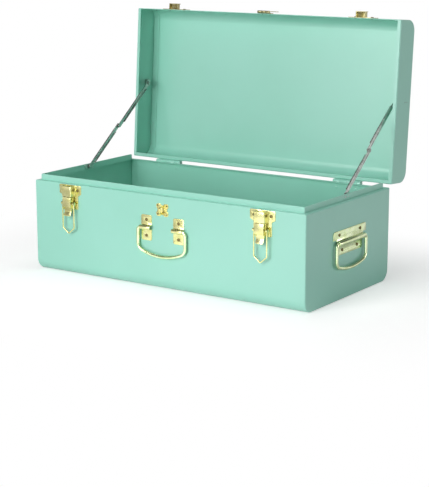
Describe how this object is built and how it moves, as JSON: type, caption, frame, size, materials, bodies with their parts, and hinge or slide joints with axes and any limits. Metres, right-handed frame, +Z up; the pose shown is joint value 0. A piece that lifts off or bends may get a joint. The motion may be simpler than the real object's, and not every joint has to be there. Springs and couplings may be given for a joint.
{
  "type": "small tin trunk",
  "caption": "Low rectangular sheet-metal trunk, lid held open by folding stays, with toggle latches, hasp and staple, and folding wire handles, for keeping papers and clothes.",
  "frame": {"origin": "centre of the flat bottom that the trunk stands on", "axes": "+X to the right along the trunk's width, +Y to the back where the hinges are, +Z up"},
  "size_m": [0.5162, 0.3334, 0.4112],
  "materials": {
    "mint_paint": "satin",
    "brass": "satin",
    "stay_steel": "satin",
    "pin_steel": "satin"
  },
  "bodies": {
    "trunk_body": {"body_wrap": "mint_paint", "left_end_panel": "mint_paint", "right_end_panel": "mint_paint", "left_hinge_body_leaf": "mint_paint", "right_hinge_body_leaf": "mint_paint", "hinge_pins": "pin_steel", "hinge_body_rivets": "mint_paint", "left_latch_plate": "brass", "right_latch_plate": "brass", "latch_plate_rivets": "brass", "latch_lever_pins": "brass", "staple_plate": "brass", "hasp_staple": "brass", "staple_plate_rivets": "brass", "front_handle_left_bracket": "brass", "front_handle_right_bracket": "brass", "front_handle_rivets": "brass", "left_side_handle_plate": "brass", "right_side_handle_plate": "brass", "side_handle_rivets": "brass", "left_stay_foot_plate": "stay_steel", "right_stay_foot_plate": "stay_steel", "stay_foot_pins": "stay_steel", "stay_foot_rivets": "stay_steel"},
    "lid": {"lid_wrap": "mint_paint", "lid_left_end": "mint_paint", "lid_right_end": "mint_paint", "left_hinge_lid_leaf": "mint_paint", "right_hinge_lid_leaf": "mint_paint", "hinge_lid_rivets": "mint_paint", "left_keeper": "brass", "right_keeper": "brass", "keeper_rivets": "brass", "hasp_leaf": "brass", "hasp_pin": "brass", "hasp_leaf_rivets": "brass", "left_stay_lid_bracket": "stay_steel", "right_stay_lid_bracket": "stay_steel", "stay_lid_pins": "stay_steel", "stay_lid_rivets": "stay_steel"},
    "hasp_flap": {"hasp_flap": "brass"},
    "front_handle": {"front_handle": "brass"},
    "left_latch_lever": {"left_latch_lever": "brass"},
    "left_bail_pin": {"left_bail_pin": "brass"},
    "left_latch_bail": {"left_latch_bail": "brass"},
    "left_side_handle": {"left_side_handle": "brass"},
    "left_lower_stay": {"left_stay_lower_arm": "stay_steel", "left_stay_elbow_rivet": "stay_steel"},
    "left_upper_stay": {"left_stay_upper_arm": "stay_steel", "left_stay_elbow_cap": "stay_steel"},
    "right_latch_lever": {"right_latch_lever": "brass"},
    "right_bail_pin": {"right_bail_pin": "brass"},
    "right_latch_bail": {"right_latch_bail": "brass"},
    "right_side_handle": {"right_side_handle": "brass"},
    "right_lower_stay": {"right_stay_lower_arm": "stay_steel", "right_stay_elbow_rivet": "stay_steel"},
    "right_upper_stay": {"right_stay_upper_arm": "stay_steel", "right_stay_elbow_cap": "stay_steel"}
  },
  "joints": [
    {"name": "lid_hinge", "type": "hinge", "parent": "trunk_body", "child": "lid", "pos_m": [0, 0.1303, 0.1456], "axis": [1, 0, 0], "range_deg": [0, 94.2]},
    {"name": "hasp_swing", "type": "hinge", "parent": "lid", "child": "hasp_flap", "pos_m": [0, 0.15425, 0.40344], "axis": [1, 0, 0], "range_deg": [0, 180]},
    {"name": "front_handle_swing", "type": "hinge", "parent": "trunk_body", "child": "front_handle", "pos_m": [0, -0.1299, 0.0955], "axis": [-1, 0, 0], "range_deg": [0, 178]},
    {"name": "left_lever_turn", "type": "hinge", "parent": "trunk_body", "child": "left_latch_lever", "pos_m": [-0.178, -0.1325, 0.1226], "axis": [-1, 0, 0], "range_deg": [0, 90]},
    {"name": "left_bail_pin_turn", "type": "hinge", "parent": "left_latch_lever", "child": "left_bail_pin", "pos_m": [-0.178, -0.1325, 0.1164], "axis": [-1, 0, 0], "range_deg": [-90, 0]},
    {"name": "left_bail_swing", "type": "hinge", "parent": "left_bail_pin", "child": "left_latch_bail", "pos_m": [-0.178, -0.1325, 0.1164], "axis": [-1, 0, 0], "range_deg": [0, 180]},
    {"name": "left_side_handle_swing", "type": "hinge", "parent": "trunk_body", "child": "left_side_handle", "pos_m": [-0.2543, 0, 0.0878], "axis": [0, 1, 0], "range_deg": [0, 180]},
    {"name": "left_stay_foot_turn", "type": "hinge", "parent": "trunk_body", "child": "left_lower_stay", "pos_m": [-0.24, 0, 0.1505], "axis": [1, 0, 0], "range_deg": [-66.38, 0]},
    {"name": "left_stay_head_turn", "type": "hinge", "parent": "lid", "child": "left_upper_stay", "pos_m": [-0.237, 0.16017, 0.27376], "axis": [1, 0, 0], "range_deg": [0, 11.93]},
    {"name": "right_lever_turn", "type": "hinge", "parent": "trunk_body", "child": "right_latch_lever", "pos_m": [0.178, -0.1325, 0.1226], "axis": [-1, 0, 0], "range_deg": [0, 90]},
    {"name": "right_bail_pin_turn", "type": "hinge", "parent": "right_latch_lever", "child": "right_bail_pin", "pos_m": [0.178, -0.1325, 0.1164], "axis": [-1, 0, 0], "range_deg": [-90, 0]},
    {"name": "right_bail_swing", "type": "hinge", "parent": "right_bail_pin", "child": "right_latch_bail", "pos_m": [0.178, -0.1325, 0.1164], "axis": [-1, 0, 0], "range_deg": [0, 180]},
    {"name": "right_side_handle_swing", "type": "hinge", "parent": "trunk_body", "child": "right_side_handle", "pos_m": [0.2543, 0, 0.0878], "axis": [0, -1, 0], "range_deg": [0, 180]},
    {"name": "right_stay_foot_turn", "type": "hinge", "parent": "trunk_body", "child": "right_lower_stay", "pos_m": [0.24, 0, 0.1505], "axis": [1, 0, 0], "range_deg": [-66.38, 0]},
    {"name": "right_stay_head_turn", "type": "hinge", "parent": "lid", "child": "right_upper_stay", "pos_m": [0.237, 0.16017, 0.27376], "axis": [1, 0, 0], "range_deg": [0, 11.93]}
  ],
  "couplings": [
    {"joint": "left_bail_pin_turn", "follows": "left_lever_turn", "ratio": -1},
    {"joint": "left_stay_foot_turn", "follows": "lid_hinge", "ratio": -0.70458},
    {"joint": "left_stay_head_turn", "follows": "lid_hinge", "ratio": 0.12657},
    {"joint": "right_bail_pin_turn", "follows": "right_lever_turn", "ratio": -1},
    {"joint": "right_stay_foot_turn", "follows": "lid_hinge", "ratio": -0.70458},
    {"joint": "right_stay_head_turn", "follows": "lid_hinge", "ratio": 0.12657}
  ]
}
